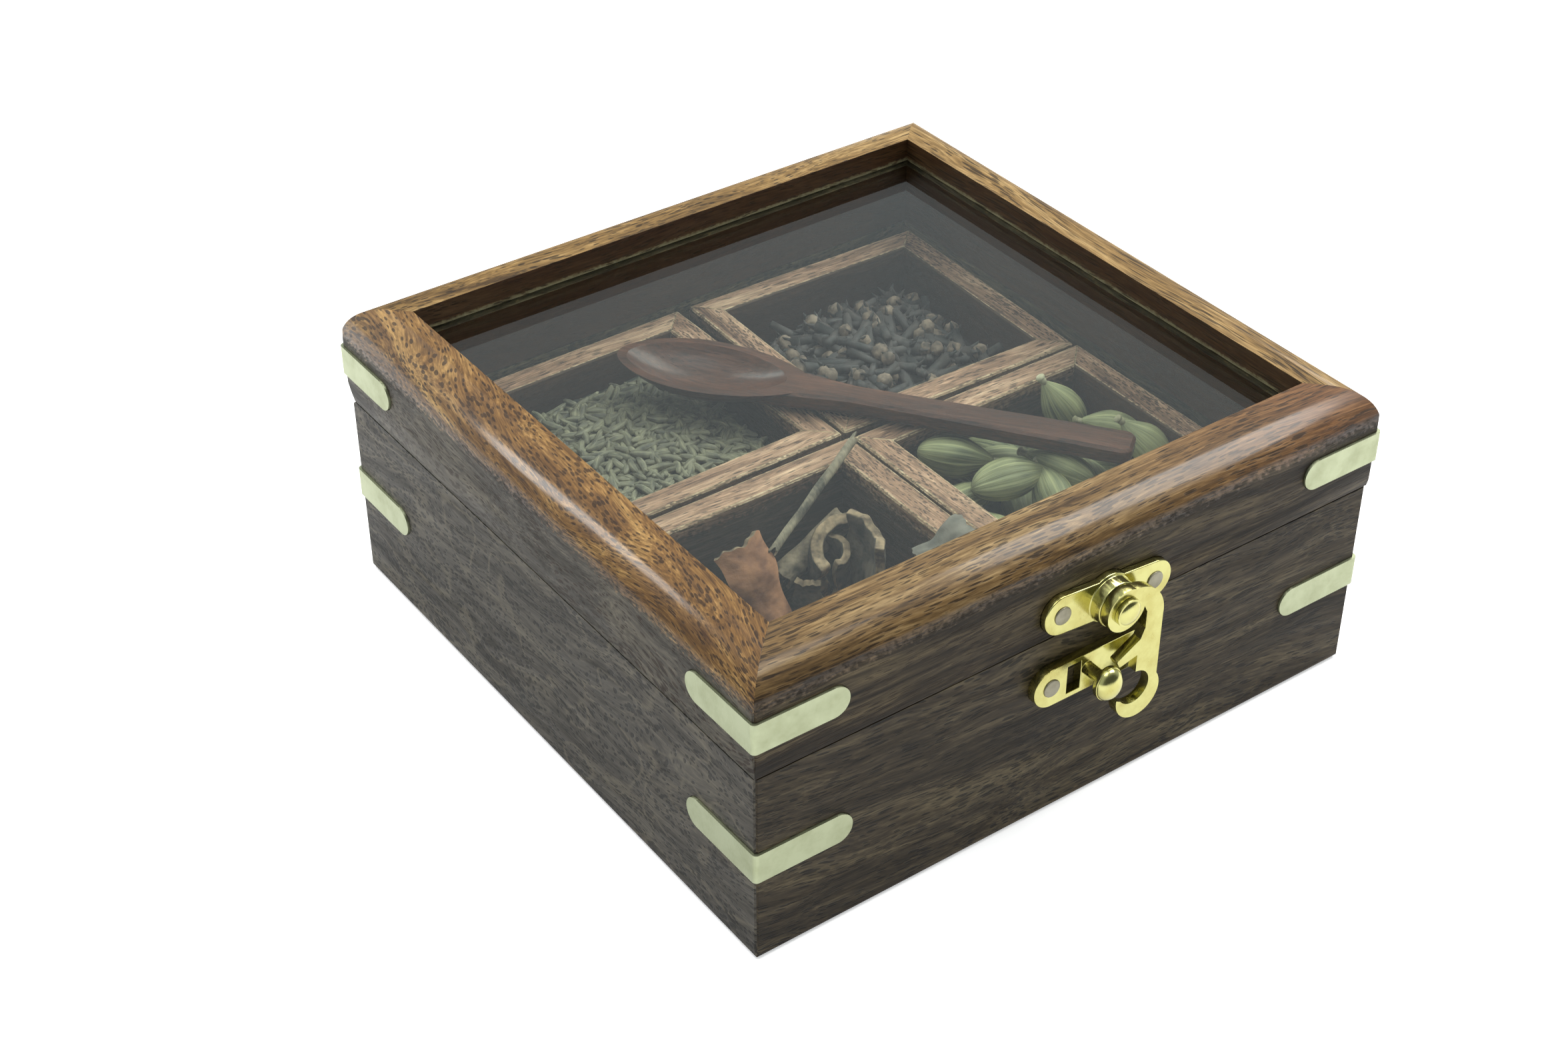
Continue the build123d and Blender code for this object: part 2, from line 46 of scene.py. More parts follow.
# ---- Node trees ----
class Finish:
    """A material whose nodes are added from the pattern towards the shader."""

    def __init__(self, name):
        self.material = bpy.data.materials.new(name)
        self.material.use_nodes = True
        self.tree = self.material.node_tree
        self.shader = self.tree.nodes["Principled BSDF"]
        self.output = self.tree.nodes["Material Output"]

    def node(self, kind, sockets=None, **settings):
        node = self.tree.nodes.new("ShaderNode" + kind)
        for setting, value in settings.items():
            setattr(node, setting, value)
        for name, value in (sockets or {}).items():
            self.plug(node.inputs[name], value)
        return node

    def plug(self, socket, value):
        if isinstance(value, bpy.types.NodeSocket):
            self.tree.links.new(value, socket)
        else:
            socket.default_value = value

    def surface(self, **values):
        """Set the shader's own sockets, with spaces in their names written as underscores."""
        for name, value in values.items():
            self.plug(self.shader.inputs[name.replace("_", " ")], value)

    def place(self, scale=(1, 1, 1), turn=(0, 0, 0), shift=(0, 0, 0)):
        """Object coordinates, turned by degrees, shifted in metres, then scaled."""
        coordinates = self.node("TexCoord").outputs["Object"]
        sockets = {"Vector": coordinates, "Location": shift, "Rotation": [radians(a) for a in turn]}
        return self.scaled(self.node("Mapping", sockets).outputs[0], scale)

    def unwrapped(self, scale):
        """The piece's own UV map, scaled."""
        return self.scaled(self.node("TexCoord").outputs["UV"], scale)

    def scaled(self, vector, scale):
        return self.node("Mapping", {"Vector": vector, "Scale": scale}).outputs[0]

    def normal(self):
        return self.node("TexCoord").outputs["Normal"]

    def axis(self, letter, vector=None):
        """One coordinate of a vector, or of the place in metres."""
        vector = vector or self.place()
        return self.node("SeparateXYZ", {"Vector": vector}).outputs[letter]

    def noise(self, vector, scale, detail=3.0, roughness=0.5, distortion=0.0):
        sockets = {"Vector": vector, "Scale": scale, "Detail": detail, "Roughness": roughness}
        sockets["Distortion"] = distortion
        return self.node("TexNoise", sockets).outputs["Fac"]

    def ramp(self, factor, *stops):
        """Colour ramp with stops of (position, colour or grey)."""
        ramp = self.node("ValToRGB", {"Fac": factor})
        elements = ramp.color_ramp.elements
        while len(elements) < len(stops):
            elements.new(0.5)
        for element, (position, colour) in zip(elements, stops):
            element.position = position
            grey = isinstance(colour, (int, float))
            element.color = (*((colour,) * 3 if grey else colour), 1)
        return ramp.outputs["Color"]

    def blend(self, factor, first, second, how="MIX"):
        mix = self.node("Mix", data_type="RGBA", blend_type=how)
        # A colour mix keeps its colours in sockets 6 and 7.
        for index, value in ((0, factor), (6, first), (7, second)):
            self.plug(mix.inputs[index], (*value, 1) if isinstance(value, tuple) else value)
        return mix.outputs[2]

    def maths(self, how, first, second=0.0):
        node = self.node("Math", operation=how)
        self.plug(node.inputs[0], first)
        self.plug(node.inputs[1], second)
        return node.outputs[0]

    def vector_maths(self, how, *values):
        node = self.node("VectorMath", operation=how)
        for socket, value in zip(node.inputs, values):
            self.plug(socket, value)
        return node.outputs

    def total(self, *parts):
        """Sum of values, each times its weight."""
        whole = None
        for value, weight in parts:
            part = self.maths("MULTIPLY", value, weight)
            whole = part if whole is None else self.maths("ADD", whole, part)
        return whole

    def bump(self, height, strength, distance):
        sockets = {"Height": height, "Strength": strength, "Distance": distance}
        self.plug(self.shader.inputs["Normal"], self.node("Bump", sockets).outputs[0])


# ---- Woods ----
# Dark red-brown painted shade for faces that look at the box's middle.
recess_shade = (0.034, 0.014, 0.006)
sealant = (0.21, 0.19, 0.105)
worn_red = (0.74, 0.50, 0.40)
brow_tints = ((0.40, (0.20, 0.17, 0.14)), (0.60, (0.72, 0.66, 0.58)))
tone_stops = (0.38, 0.5, 0.63)  # where the dark, mid and light tones of a wood lie
lid_foot = 59.7  # height in mm under which a lid rail is darker and unwaxed; the darker side faces are painted shade
tray_foot = 39.5  # the same on the tray walls, where the darker lower walls are painted shade
# Heights in decimetres: where the brow ends, and the two edges of the sealant's line.
brow_band = (0.622, 0.662)
sealant_foot = (0.6255, 0.628)
sealant_top = (0.635, 0.639)


class Hardwood(Finish):
    """Open-grained hardwood whose grain runs along X once it is turned."""

    def __init__(self, name, turn, shift, sweep):
        super().__init__(name)
        self.straight = self.place(turn=turn, shift=shift)
        slow = self.scaled(self.straight, (0.35, 1, 1))
        sockets = {"Vector": slow, "Scale": 38.0, "Detail": 2.5}
        drift = self.node("TexNoise", sockets).outputs["Color"]
        centred = self.vector_maths("SUBTRACT", drift, (0.5, 0.5, 0.5))[0]
        reach = [sweep * 2 * mm] * 3
        self.grain = self.vector_maths("MULTIPLY_ADD", centred, reach, self.straight)[0]

    def along(self, length, width, vector=None):
        """Coordinates with cells of a length and width in mm."""
        scale = (1 / (length * mm), 1 / (width * mm), 1 / (width * mm))
        return self.scaled(vector or self.grain, scale)

    def toned(self, tone, tones):
        return self.ramp(tone, *zip(tone_stops, tones))

    def swirled(self, colour, light, strength):
        """Pale loops that cross the grain."""
        loop = self.noise(self.along(34, 21, self.straight), 1.0, 1.0, 0.4, 1.6)
        line = self.ramp(loop, (0.47, 0.0), (0.50, 1.0), (0.535, 0.0))
        return self.blend(self.maths("MULTIPLY", line, strength), colour, light)

    def reddened(self, colour, figure, strength):
        """Redder wood towards +X, along the figure."""
        reach = self.total((self.axis("X"), 10.0), (figure, 0.5))
        share = self.ramp(reach, (0.35, 0.0), (0.90, strength))
        return self.blend(share, colour, worn_red, "MULTIPLY")

    def inward(self):
        """Share of the painted shade on inner faces: full on faces that look at the box's middle.
        """
        outward = self.vector_maths("DOT_PRODUCT", self.normal(), self.place())["Value"]
        inner = self.maths("ADD", self.maths("MULTIPLY", outward, 20.0), 0.5)
        return self.ramp(inner, (0.35, 0.92), (0.75, 0.0))

    def pored(self, length, width, span):
        """Dark pores, one in each cell of a length and width, more of them in patches."""
        cells = {"Vector": self.along(length, width), "Scale": 1.0}
        cell = self.node("TexVoronoi", cells)
        patch = self.noise(self.along(16, 5), 1.0, 2.0, 0.5)
        span = self.maths("MULTIPLY", self.maths("ADD", patch, 0.05), span * 1.8)
        inside = self.maths("SUBTRACT", span, cell.outputs["Distance"])
        return self.ramp(inside, (0.0, 0.0), (0.09, 1.0))


def hardwood(
    name, turn, shift, tones, pores, sweep=6.0, swirl=0.0, gloss=0.46, shine=0.2,
    wax=0.0, face=None, foot=lid_foot, seat=None, brow=0.0, ruddy=0.0,
):
    """Finish of one board of hardwood.

    tones are its dark, mid and light colours. pores are the length and width of a cell with one
    dark pore, in mm, and the share of the cell that the pore spans. sweep is how far the grain
    wanders, in mm, and swirl is the strength of pale loops across it. face gives the darker tones
    below the height foot, in mm, painted shade of the side faces, where the wax stops too; faces
    that look at the box's middle then also get painted shade. seat colours the line of sealant
    along the glass, brow darkens the wood just over the foot, and ruddy reddens its right end.
    """
    wood = Hardwood(name, turn, shift, sweep)
    figure = wood.noise(wood.along(70, 11), 1.0, 4.0, 0.6, 1.2)
    streak = wood.noise(wood.along(60, 2.2), 1.0, 5.0, 0.62)
    fibre = wood.noise(wood.along(7, 0.42), 1.0, 3.0, 0.65)
    tone = wood.total((figure, 0.44), (streak, 0.32), (fibre, 0.24))
    dark, _, light = tones
    colour = wood.toned(tone, tones)
    if swirl:
        colour = wood.swirled(colour, light, swirl)
    coat = wax
    if ruddy:
        colour = wood.reddened(colour, figure, ruddy)
    if face:
        height = wood.axis("Z")
        ragged = wood.noise(wood.along(1.1, 0.8), 1.0, 2.0, 0.6)
        depth = wood.maths("SUBTRACT", foot * mm, height)
        depth = wood.total((depth, 300.0), (ragged, 2.2))
        # Painted shade: below the foot, the side faces take the darker face tones in place of the
        # shade they get.
        under = wood.toned(tone, face)
        below = wood.ramp(depth, (0.40, 0.0), (1.0, 1.0))
        colour = wood.blend(below, colour, under)
        # Painted shade: faces that look at the box's middle, over the glass and inside the trays,
        # turn dark red-brown.
        inner = wood.inward()
        colour = wood.blend(inner, colour, recess_shade)
        level = wood.maths("ADD", height, wood.maths("MULTIPLY", ragged, 0.0012))
        level = wood.maths("MULTIPLY", level, 10.0)
        if brow:
            low = wood.ramp(level, (brow_band[0], brow), (brow_band[1], 0.0))
            colour = wood.blend(low, colour, wood.ramp(streak, *brow_tints), "MULTIPLY")
        if seat:
            line = wood.ramp(level, *zip((*sealant_foot, *sealant_top), (0.0, 0.9, 0.9, 0.0)))
            colour = wood.blend(wood.maths("MULTIPLY", line, inner), colour, seat)
        if wax:
            bare = wood.maths("MAXIMUM", below, inner)
            coat = wood.maths("MULTIPLY", wood.maths("SUBTRACT", 1.0, bare), wax)
    pore = wood.pored(*pores)
    colour = wood.blend(wood.maths("MULTIPLY", pore, 0.78), colour, tuple(c * 0.35 for c in dark))
    fine = wood.ramp(fibre, (0.3, 0.62), (0.7, 1.36))
    colour = wood.blend(0.9, colour, fine, "MULTIPLY")
    rough = wood.ramp(streak, (0.35, gloss + 0.10), (0.65, gloss - 0.04))
    wood.surface(Base_Color=colour, Roughness=rough, IOR=1.47, Specular_IOR_Level=shine)
    wood.surface(Coat_Weight=coat, Coat_Roughness=0.16)
    wood.bump(wood.maths("SUBTRACT", wood.maths("MULTIPLY", fibre, 0.3), pore), 0.4, 0.00012)
    return wood.material


russet = ((0.058, 0.025, 0.008), (0.168, 0.085, 0.024), (0.385, 0.232, 0.078))
honey = ((0.060, 0.032, 0.010), (0.205, 0.122, 0.040), (0.38, 0.262, 0.115))
amber = ((0.046, 0.024, 0.008), (0.152, 0.090, 0.033), (0.290, 0.200, 0.092))
walnut = ((0.016, 0.011, 0.006), (0.050, 0.036, 0.020), (0.125, 0.098, 0.055))
umber = ((0.012, 0.0085, 0.0048), (0.040, 0.0285, 0.0155), (0.105, 0.081, 0.044))
slate_brown = ((0.022, 0.018, 0.013), (0.060, 0.052, 0.041), (0.115, 0.098, 0.070))
rosy = ((0.078, 0.038, 0.022), (0.255, 0.142, 0.086), (0.46, 0.300, 0.190))
# Painted shade: dark tones for the tray walls below tray_foot, in place of the shade inside the
# trays.
tray_shade_tones = ((0.018, 0.012, 0.008), (0.054, 0.036, 0.025), (0.100, 0.072, 0.050))
pale = ((0.14, 0.09, 0.050), (0.34, 0.245, 0.14), (0.56, 0.43, 0.27))
cocoa = ((0.024, 0.009, 0.005), (0.056, 0.020, 0.010), (0.096, 0.037, 0.020))
rail_pores = (2.6, 0.66, 0.38)
faint_pores = (3.2, 0.62, 0.34)
streak_pores = (11.0, 0.62, 0.38)
dash_pores = (4.5, 0.50, 0.38)
dot_pores = (1.9, 0.95, 0.42)
line_pores = (4.5, 0.55, 0.38)
case_woods = {
    "lid_left_rail": hardwood(
        "rail_wood_left", (0, 0, 101), (0.02, 0.01, 0.05), russet, rail_pores, 11.0,
        wax=0.55, face=slate_brown, seat=sealant,
    ),
    "lid_front_rail": hardwood(
        "rail_wood_front", (0, 0, 2), (0.05, 0.02, 0.045), amber, dash_pores, 4.0,
        wax=0.55, face=walnut, seat=sealant, brow=0.85, ruddy=0.9,
    ),
    "lid_right_rail": hardwood(
        "rail_wood_right", (0, 2, 90), (-0.03, 0.03, 0.03), honey, streak_pores,
        wax=0.3, face=walnut, seat=sealant,
    ),
    "lid_back_rail": hardwood(
        "rail_wood_back", (0, -2, 0), (0.01, -0.04, 0.02), honey, faint_pores,
        wax=0.3, face=walnut, seat=sealant,
    ),
    "base_left_wall": hardwood(
        "wall_wood_left", (7, 3, 90), (0.02, 0.03, 0.06), slate_brown, dot_pores, 12.0,
        swirl=0.85, shine=0.26,
    ),
    "base_front_wall": hardwood(
        "wall_wood_front", (0, -5, 0), (0.03, 0.045, 0.03), umber, line_pores, 8.0
    ),
    "base_right_wall": hardwood(
        "wall_wood_right", (0, 2, 90), (0.01, 0.02, 0.02), umber, line_pores, 9.0, swirl=0.2
    ),
    "base_back_wall": hardwood(
        "wall_wood_back", (0, 3, 0), (0.04, 0.01, 0.03), umber, dot_pores, 9.0
    ),
    "base_bottom_panel": hardwood(
        "panel_wood", (0, 0, 0), (0.03, 0.01, 0.02), umber, line_pores, 8.0, gloss=0.6
    ),
}


def tray_wood(name, turn, shift, tones, pores, sweep, gloss):
    # The tray walls below tray_foot take these darker tones as painted shade.
    return hardwood(name, turn, shift, tones, pores, sweep, gloss=gloss, face=tray_shade_tones, foot=tray_foot)


tray_woods = {
    "x": tray_wood(
        "tray_wood_across", (0, 2, 0), (0.02, 0.01, 0.03), rosy, (4.0, 0.6, 0.30), 5.0, 0.6
    ),
    "y": tray_wood(
        "tray_wood_along", (0, 2, 90), (0.01, 0.02, 0.03), rosy, (1.6, 0.6, 0.40), 6.0, 0.6
    ),
}
worn_edge = tray_wood(
    "tray_worn_edge", (0, 0, 30), (0.01, 0.02, 0.0), pale, (1.6, 0.8, 0.42), 6.0, 0.7
)
spoon_wood = hardwood(
    "spoon_wood", (0, 0, 52.5), (0.01, 0.02, 0.02), cocoa, (4.0, 0.5, 0.24), 5.0,
    gloss=0.38, shine=0.28, wax=0.2,
)


# ---- Metals and glass ----
def metal(name, colour, tarnish, roughness, scratch_turn=0.0):
    """Brushed or polished metal with a little tarnish and fine scratches."""
    finish = Finish(name)
    cloud = finish.noise(finish.place(), 160.0, 4.0, 0.6)
    fine = finish.noise(finish.place((900, 7000, 900), (0, scratch_turn, 0)), 1.0, 2.0)
    colour = finish.blend(finish.ramp(cloud, (0.42, 0.0), (0.75, 1.0)), colour, tarnish)
    rough = finish.maths("MULTIPLY", cloud, fine)
    rough = finish.ramp(rough, (0.1, roughness), (0.5, roughness + 0.22))
    finish.surface(Base_Color=colour, Roughness=rough, Metallic=1.0, IOR=1.5)
    finish.bump(finish.total((cloud, 1.0), (fine, 0.3)), 0.22, 0.00010)
    return finish.material


strip_brass = metal("strap_brass", (0.435, 0.470, 0.308), (0.36, 0.385, 0.24), 0.32)
latch_brass = metal("latch_brass", (0.60, 0.575, 0.23), (0.46, 0.40, 0.12), 0.12, 30.0)
hinge_brass = metal("hinge_brass", (0.60, 0.50, 0.22), (0.36, 0.28, 0.10), 0.30)
nail_steel = metal("nail_steel", (0.33, 0.31, 0.235), (0.20, 0.18, 0.13), 0.38)


def strap_rim():
    """Rim of a brass strap, dark and ragged with glue along its upper edge."""
    rim = Finish("strap_rim")
    upward = rim.axis("Z", rim.normal())
    ragged = rim.noise(rim.place(), 1500.0, 3.0, 0.7)
    glue = rim.ramp(rim.total((upward, 0.75), (ragged, 0.9)), (0.55, 0.0), (0.72, 1.0))
    rim.surface(Base_Color=rim.blend(glue, (0.45, 0.47, 0.29), (0.012, 0.010, 0.008)), IOR=1.5)
    metallic = rim.maths("SUBTRACT", 1.0, glue)
    rim.surface(Metallic=metallic, Roughness=rim.ramp(ragged, (0.3, 0.3), (0.7, 0.6)))
    rim.bump(ragged, 0.5, 0.0002)
    return rim.material


strap_edge = strap_rim()


def clear_glass():
    """Clear pane that lets lamp light through to the trays."""
    glass = Finish("lid_glass")
    glass.surface(Base_Color=(0.86, 0.93, 0.92, 1), Roughness=0.0, IOR=1.5)
    glass.surface(Transmission_Weight=1.0)
    smear = glass.ramp(glass.noise(glass.place(), 60.0, 3.0), (0.4, 0.0), (0.9, 0.02))
    glass.surface(Roughness=smear)
    passing = glass.node("BsdfTransparent", {"Color": (0.88, 0.94, 0.93, 1)}).outputs[0]
    shadow = glass.node("LightPath").outputs["Is Shadow Ray"]
    mix = glass.node("MixShader", {0: shadow, 1: glass.shader.outputs[0], 2: passing})
    glass.plug(glass.output.inputs["Surface"], mix.outputs[0])
    return glass.material


# ---- Finishes and eased edges of the CAD nodes ----
weld_reach = 0.002  # mm between corners that count as one
flat_angle = 0.5  # degrees between faces that count as one flat
edge_angle = 32  # degrees over which an edge is eased
# Width in mm by which the edges are eased, and its segments.
case_ease = (0.25, 2)
tray_ease = (0.32, 2)
spoon_ease = (0.5, 2)
strap_ease = (0.30, 3)
hinge_ease = (0.12, 2)
latch_ease = (0.45, 3)


def dress(name, material, ease=None, edge=None):
    """Give a node its finish, merge its loose triangles and ease its sharp edges.

    The rivet keeps all its facets, so that the hook's eye keeps its play round it.
    """
    node = nodes[name]
    node.data.materials.clear()
    node.data.materials.append(material)
    weld = node.modifiers.new("weld", "WELD")
    weld.merge_threshold = weld_reach * mm
    if material in (latch_brass, hinge_brass) and name != "hook_rivet":
        flat = node.modifiers.new("flat", "DECIMATE")
        flat.decimate_type = "DISSOLVE"
        flat.angle_limit = radians(flat_angle)
    if ease:
        width, segments = ease
        bevel = node.modifiers.new("ease", "BEVEL")
        bevel.width = width * mm
        bevel.segments = segments
        bevel.limit_method = "ANGLE"
        bevel.angle_limit = radians(edge_angle)
        bevel.harden_normals = True
        if edge:
            node.data.materials.append(edge)
            bevel.material = 1


for name in nodes:
    if name in case_woods:
        dress(name, case_woods[name], case_ease)
    elif name.startswith("tray_"):
        side = name.split("_")[2]
        wood = tray_woods["y" if side in ("left", "right") else "x"]
        dress(name, wood, tray_ease, worn_edge)
    elif name == "spoon":
        dress(name, spoon_wood, spoon_ease)
    elif "strip" in name:
        dress(name, strip_brass, strap_ease, strap_edge)
    elif name.startswith("hinge_"):
        dress(name, hinge_brass, hinge_ease)
    elif name == "lid_glass":
        dress(name, clear_glass())
    else:
        dress(name, latch_brass, latch_ease)


# ---- Pieces ----
def finished(name, shape, body, material):
    """Turn a bmesh into a smooth piece that rides on a body."""
    bmesh.ops.recalc_face_normals(shape, faces=shape.faces)
    mesh = bpy.data.meshes.new(name)
    shape.to_mesh(mesh)
    shape.free()
    mesh.materials.append(material)
    mesh.polygons.foreach_set("use_smooth", [True] * len(mesh.polygons))
    piece = bpy.data.objects.new(name, mesh)
    bpy.context.scene.collection.objects.link(piece)
    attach(piece, body)
    return piece


def cone(shape, place, segments, bottom, top, depth):
    """Add a closed cone to a shape. Its radii and depth are in mm."""
    bmesh.ops.create_cone(
        shape, cap_ends=True, segments=segments, radius1=bottom * mm, radius2=top * mm,
        depth=depth * mm, matrix=place,
    )


def copies(grain, places):
    """One bmesh that holds a copy of a grain at each place."""
    pile = bmesh.new()
    pattern = bpy.data.meshes.new("grain")
    grain.to_mesh(pattern)
    grain.free()
    for place in places:
        one = pattern.copy()
        one.transform(place)
        pile.from_mesh(one)
        bpy.data.meshes.remove(one)
    bpy.data.meshes.remove(pattern)
    return pile


tray_margin = 1.3  # mm left free inside a tray's floor, since the trays stand a little askew


def tray_inside(tray):
    """Centre of a tray's floor, and how far its clear inside reaches from there."""
    low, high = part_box(f"tray_{tray}_floor")
    middle = (low + high) / 2
    middle.z = high.z
    return middle, (high - low) / 2 - Vector((tray_margin * mm, tray_margin * mm, 0))


def bed(tray, level, crown, material):
    """Closed mound that fills a tray under its spice, up to a level and a crown in mm."""
    level, crown = level * mm, crown * mm
    middle, reach = tray_inside(tray)
    shape = bmesh.new()
    bmesh.ops.create_grid(shape, x_segments=24, y_segments=24, size=1)
    chance = random.Random(tray)
    for vert in shape.verts:
        rise = crown * (1 - vert.co.x**2) * (1 - vert.co.y**2) + chance.uniform(-0.4, 0.4) * mm
        vert.co = (middle.x + vert.co.x * reach.x, middle.y + vert.co.y * reach.y, level + rise)
    skirt = bmesh.ops.extrude_face_region(shape, geom=shape.faces[:])["geom"]
    for vert in [item for item in skirt if isinstance(item, bmesh.types.BMVert)]:
        vert.co.z = middle.z + 0.1 * mm
    finished(f"{tray}_bed", shape, "base", material)


def strewn(tray, level, crown, spacing, layers, lean, seed, margin):
    """Places for small grains, laid in jittered rows over a mound, at every heading.

    level, crown, spacing and margin are in mm, and lean is the tilt in degrees.
    """
    level, crown, spacing, margin = level * mm, crown * mm, spacing * mm, margin * mm
    chance = random.Random(seed)
    middle, reach = tray_inside(tray)
    places = []
    steps_x = int(2 * (reach.x - margin) / spacing)
    steps_y = int(2 * (reach.y - margin) / spacing)
    for layer in range(layers):
        for i in range(steps_x):
            for j in range(steps_y):
                u = (i + chance.uniform(0.1, 0.9)) / steps_x * 2 - 1
                v = (j + chance.uniform(0.1, 0.9)) / steps_y * 2 - 1
                rise = crown * (1 - u * u) * (1 - v * v) + layer * spacing * 0.22
                x = middle.x + u * (reach.x - margin)
                y = middle.y + v * (reach.y - margin)
                z = level + rise + chance.uniform(-0.2, 0.5) * mm
                place = Matrix.Translation((x, y, z))
                place @= Matrix.Rotation(chance.uniform(0, 2 * pi), 4, "Z")
                place @= Matrix.Rotation(radians(90 + chance.uniform(-lean, lean)), 4, "Y")
                place @= Matrix.Rotation(chance.uniform(0, 2 * pi), 4, "Z")
                places.append(place @ Matrix.Scale(chance.uniform(0.82, 1.12), 4))
    return places


def spice(name, dark, light, scale, roughness, ridge=(900, 900, 900), ribs=None):
    """Dry seed or bark, in patches. ribs run along a grain that has a UV map."""
    finish = Finish(name)
    patch = finish.noise(finish.place(), scale, 2.0, 0.6)
    ridges = finish.noise(finish.unwrapped(ribs) if ribs else finish.place(ridge), 1.0, 3.0, 0.6)
    share = 0.5 if ribs else 0.3
    tone = finish.total((patch, 1 - share), (ridges, share))
    colour = finish.ramp(tone, (0.38, dark), (0.62, light))
    finish.surface(Base_Color=colour, Roughness=roughness, IOR=1.45)
    finish.bump(ridges, 0.6, 0.0004 if ribs else 0.0002)
    return finish.material


# ---- Cumin, heaped almost to the rim ----
cumin_green = spice(
    "cumin_seed", (0.034, 0.029, 0.017), (0.225, 0.200, 0.118), 300.0, 0.6, ribs=(9, 0.6, 1)
)
cumin_shade = spice("cumin_shade", (0.010, 0.010, 0.007), (0.035, 0.035, 0.022), 400.0, 0.9)
seed_radius, seed_half_length, seed_bend = 0.86, 2.8, 0.5  # mm
seed = bmesh.new()
seed.loops.layers.uv.new("UVMap")
bmesh.ops.create_uvsphere(seed, u_segments=7, v_segments=6, radius=1, calc_uvs=True)
for vert in seed.verts:
    end = vert.co.z
    bend = end * end * seed_bend * mm
    x, y = vert.co.x * seed_radius * mm, vert.co.y * seed_radius * mm
    vert.co = (x + bend, y, end * seed_half_length * mm)
cumin_places = strewn(
    "cumin", level=35.6, crown=3.0, spacing=2.35, layers=3, lean=15, seed=7, margin=2.8
)
bed("cumin", 35.4, 2.6, cumin_shade)
finished("cumin_seeds", copies(seed, cumin_places), "base", cumin_green)

# ---- Cloves, lower in their tray ----
clove_brown = spice("clove_stem", (0.013, 0.011, 0.009), (0.060, 0.046, 0.038), 200.0, 0.65)
clove_bud = spice("clove_bud", (0.055, 0.038, 0.027), (0.235, 0.165, 0.112), 420.0, 0.8)
clove_shade = spice("clove_shade", (0.010, 0.006, 0.004), (0.035, 0.02, 0.014), 300.0, 0.9)
stem = bmesh.new()
shank = Matrix.Translation((0, 0, -1.2 * mm))
cone(stem, shank, 6, 0.95, 1.5, 10)
for lobe in range(4):
    point = Matrix.Rotation(lobe * pi / 2, 4, "Z") @ Matrix.Translation((1.5 * mm, 0, 4.4 * mm))
    point @= Matrix.Rotation(radians(48), 4, "Y")
    cone(stem, point, 5, 0.85, 0.1, 2.6)
bud = bmesh.new()
bmesh.ops.create_uvsphere(bud, u_segments=9, v_segments=7, radius=1.95 * mm)
bud_height = 4.9
chance = random.Random(5)
for vert in bud.verts:
    vert.co = vert.co * chance.uniform(0.84, 1.08) + Vector((0, 0, bud_height * mm))
clove_places = strewn(
    "cloves", level=32.4, crown=4.6, spacing=4.7, layers=3, lean=28, seed=11, margin=4.3
)
bed("cloves", 31.0, 4.0, clove_shade)
finished("clove_stems", copies(stem, clove_places), "base", clove_brown)
finished("clove_buds", copies(bud, clove_places[::2]), "base", clove_bud)

# ---- Cardamom pods ----
pod_green = spice(
    "cardamom_pod", (0.046, 0.050, 0.018), (0.38, 0.365, 0.175), 70.0, 0.62, ribs=(34, 1.0, 1)
)
pod_stub = spice("cardamom_stub", (0.22, 0.19, 0.10), (0.48, 0.43, 0.28), 300.0, 0.7)
pod_bed = spice("cardamom_shade", (0.012, 0.014, 0.008), (0.035, 0.040, 0.022), 300.0, 0.9)
pod_half_width, pod_half_depth, pod_half_length = 4.5, 4.1, 7.6  # mm
pod = bmesh.new()
pod.loops.layers.uv.new("UVMap")
bmesh.ops.create_uvsphere(pod, u_segments=48, v_segments=18, radius=1, calc_uvs=True)
for vert in pod.verts:
    x, y, z = vert.co
    heading = atan2(y, x)
    swell = 1 + 0.035 * cos(16 * heading) + 0.09 * cos(3 * heading)
    pinch = 1 - 0.34 * max(0.0, z) ** 2
    x, y = x * swell * pinch, y * swell * pinch
    length = (z + 0.15 * max(0.0, z) ** 6) * pod_half_length
    vert.co = (x * pod_half_width * mm, y * pod_half_depth * mm, length * mm)
stub = bmesh.new()
tip = Matrix.Translation((0, 0, 8.8 * mm))
cone(stub, tip, 8, 0.75, 0.95, 2.4)
collar = Matrix.Translation((0, 0, 10.0 * mm)) @ Matrix.Diagonal((1, 1, 0.6, 1))
bmesh.ops.create_uvsphere(stub, u_segments=8, v_segments=6, radius=1.15 * mm, matrix=collar)


def lying(x, y, z, heading, rise, size, roll):
    """Place for a pod whose tip points along a heading and rises, in mm and degrees."""
    place = Matrix.Translation((x * mm, y * mm, z * mm))
    place @= Matrix.Rotation(radians(heading), 4, "Z")
    place @= Matrix.Rotation(radians(90 - rise), 4, "Y")
    return place @ Matrix.Rotation(radians(roll), 4, "Z") @ Matrix.Scale(size, 4)


